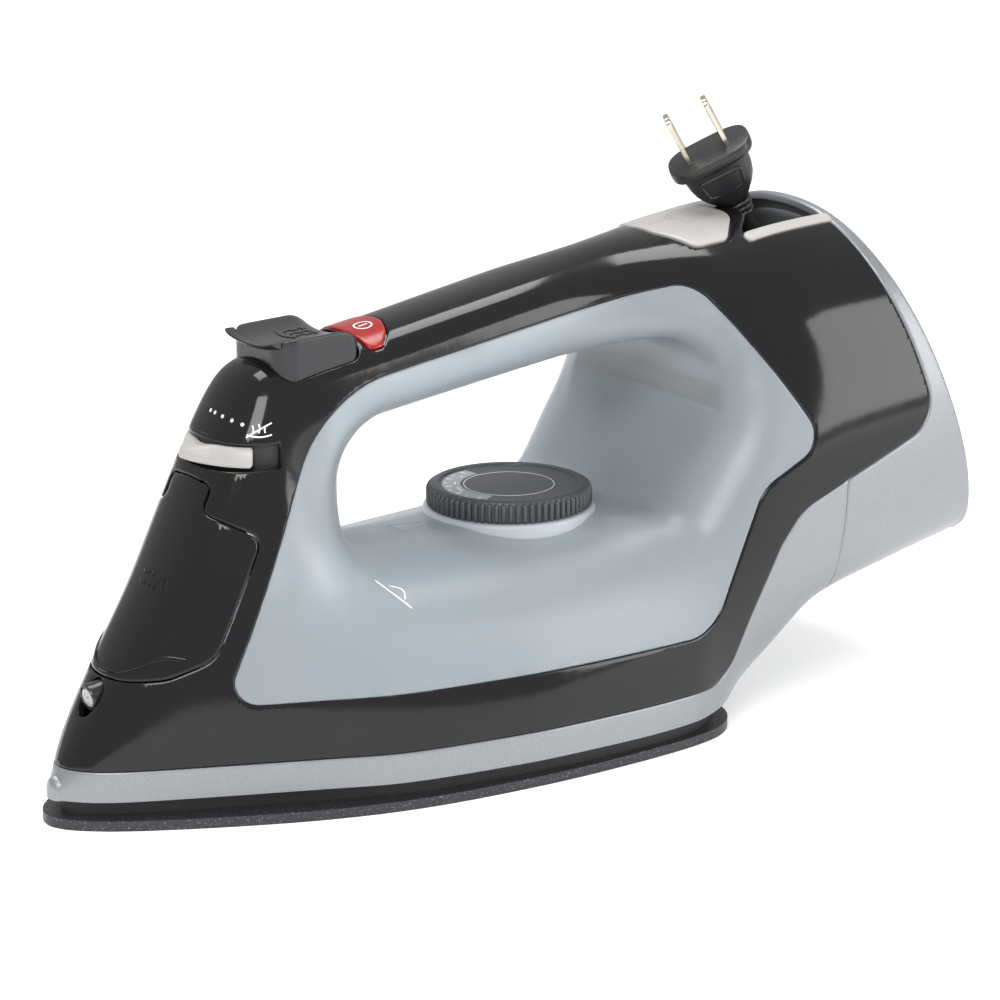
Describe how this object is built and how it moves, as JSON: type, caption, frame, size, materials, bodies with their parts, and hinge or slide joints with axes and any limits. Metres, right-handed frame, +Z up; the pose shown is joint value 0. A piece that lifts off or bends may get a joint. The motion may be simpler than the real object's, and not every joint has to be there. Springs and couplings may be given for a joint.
{
  "type": "steam iron",
  "caption": "Steam clothes iron with a clear wrap-round water tank, open handle, dial, spray nozzle and a cord that winds back into its heel.",
  "frame": {"origin": "on the sole's working face, at the middle of the soleplate's length, in the iron's plane of symmetry", "axes": "+X from the nose to the heel, +Z up from the sole, +Y across the iron"},
  "size_m": [0.305, 0.1142, 0.1854],
  "materials": {
    "cast_aluminium": "plain",
    "black_gloss_plastic": "gloss",
    "circuit_board": "matt",
    "brass_parts": "plain",
    "clear_tank_plastic": "frosted",
    "dark_heatproof_plastic": "matt",
    "dark_grey_plastic": "satin",
    "warm_grey_plastic": "satin",
    "nickel_plate": "polished",
    "red_clear_plastic": "gloss",
    "black_rubber": "matt",
    "silver_paint": "satin metallic",
    "nonstick_coating": "satin",
    "plain_steel": "brushed",
    "white_plastic": "matt"
  },
  "bodies": {
    "housing": {"soleplate": "nonstick_coating", "sole_screws": "plain_steel", "heating_element": "plain_steel", "steam_chamber_cover": "cast_aluminium", "heat_shield": "dark_heatproof_plastic", "base_skirt": "silver_paint", "rear_cover": "silver_paint", "body_shell": "black_gloss_plastic", "water_tank": "clear_tank_plastic", "grip_insert": "clear_tank_plastic", "tank_floor": "clear_tank_plastic", "tank_bulkhead": "dark_heatproof_plastic", "dial_collar": "clear_tank_plastic", "thermostat": "cast_aluminium", "door_hinge_pin": "plain_steel", "fill_tray": "black_gloss_plastic", "spray_nozzle": "black_gloss_plastic", "nozzle_tip": "warm_grey_plastic", "valve_seat": "black_rubber", "pump_bodies": "white_plastic", "pump_springs": "plain_steel", "spray_tube": "black_rubber", "steam_tube": "black_rubber", "power_switch": "dark_heatproof_plastic", "control_board": "circuit_board", "indicator_lamp": "red_clear_plastic", "reel_axle": "plain_steel", "contact_brushes": "brass_parts", "brush_holder": "dark_heatproof_plastic", "brake_pin": "plain_steel", "cord_guide": "warm_grey_plastic", "cord_tray": "dark_heatproof_plastic", "plug_body": "black_rubber", "plug_blades": "nickel_plate", "cord_tail": "black_rubber", "terminal_block": "white_plastic", "thermal_fuse": "plain_steel", "feed_wires": "black_rubber", "heel_screws": "plain_steel"},
    "dial": {"temperature_dial": "dark_grey_plastic", "dial_spindle": "dark_heatproof_plastic"},
    "slider": {"steam_slider": "warm_grey_plastic", "steam_valve_needle": "brass_parts"},
    "button": {"steam_button": "black_gloss_plastic", "pump_pistons": "white_plastic"},
    "power": {"power_button": "red_clear_plastic"},
    "rewind": {"rewind_button": "warm_grey_plastic"},
    "brake": {"brake_lever": "white_plastic"},
    "door": {"water_door": "black_gloss_plastic", "door_seal": "black_rubber"},
    "reel": {"cord_reel": "white_plastic", "cord_winding": "black_rubber", "mainspring": "plain_steel", "slip_ring_disc": "dark_heatproof_plastic", "slip_rings": "brass_parts"}
  },
  "joints": [
    {"name": "dial_turn", "type": "hinge", "parent": "housing", "child": "dial", "pos_m": [0.052, 0, 0.0677], "axis": [0, 0, 1], "range_deg": [-140, 140]},
    {"name": "slider_turn", "type": "hinge", "parent": "housing", "child": "slider", "pos_m": [-0.0365, 0, 0.0996], "axis": [0, 0, 1], "range_deg": [-20, 20]},
    {"name": "button_press", "type": "slide", "parent": "housing", "child": "button", "axis": [0, 0, -1], "range_m": [0, 0.003], "stiffness_N_per_m": 1500, "springref_m": -0.002, "deforming": ["pump_springs"]},
    {"name": "power_press", "type": "slide", "parent": "housing", "child": "power", "axis": [0, 0, -1], "range_m": [0, 0.001], "stiffness_N_per_m": 1500, "springref_m": -0.0005},
    {"name": "rewind_press", "type": "slide", "parent": "housing", "child": "rewind", "axis": [0, 0, -1], "range_m": [0, 0.002], "stiffness_N_per_m": 1500, "springref_m": -0.001},
    {"name": "brake_swing", "type": "hinge", "parent": "housing", "child": "brake", "pos_m": [0.119, 0, 0.134], "axis": [0, -1, 0], "range_deg": [0, 12]},
    {"name": "door_swing", "type": "hinge", "parent": "housing", "child": "door", "pos_m": [-0.0604, 0, 0.0916], "axis": [0, 1, 0], "range_deg": [0, 60]},
    {"name": "reel_spin", "type": "hinge", "parent": "housing", "child": "reel", "pos_m": [0.16, 0, 0.092], "axis": [0.9407, 0, 0.3393], "range_deg": [0, 3600]}
  ],
  "couplings": [
    {"joint": "brake_swing", "follows": "rewind_press", "rad_per_m": 100}
  ]
}
